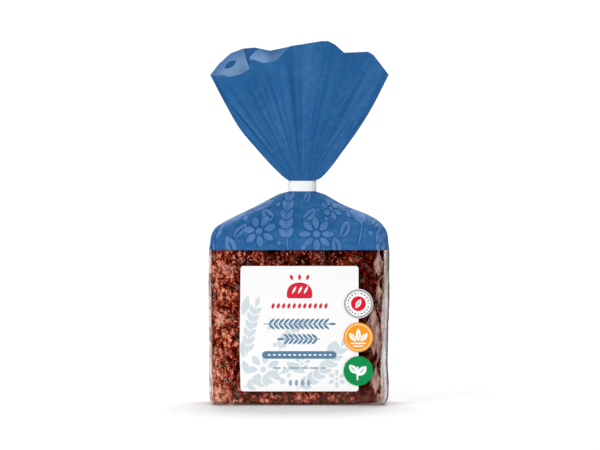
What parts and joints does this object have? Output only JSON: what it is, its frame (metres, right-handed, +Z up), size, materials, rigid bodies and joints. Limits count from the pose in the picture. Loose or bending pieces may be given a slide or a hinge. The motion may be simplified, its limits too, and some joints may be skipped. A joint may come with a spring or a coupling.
{
  "type": "rye bread in a bag",
  "caption": "Dark rye loaf in a clear film bag with a printed upper part, taped at the neck, fanned out above it, with a square label and round stickers.",
  "frame": {"origin": "centre of the flat base", "axes": "+Z up, the front with the label faces -Y, +X to the right as seen from the front"},
  "size_m": [0.107, 0.0586, 0.2156],
  "materials": {
    "rye_crust": "rough dark rye crust",
    "tape_paper": "white adhesive tape",
    "label_paper": "white printed label",
    "badge_red": "glossy sticker",
    "badge_orange": "glossy sticker",
    "badge_green": "glossy sticker",
    "printed_film": "blue printed film",
    "clear_film": "clear glossy film"
  },
  "bodies": {
    "root": {"bread_bag": "rye_crust", "neck_tape": "tape_paper", "front_label": "label_paper", "badge_red": "badge_red", "badge_orange": "badge_orange", "badge_green": "badge_green"}
  },
  "joints": []
}
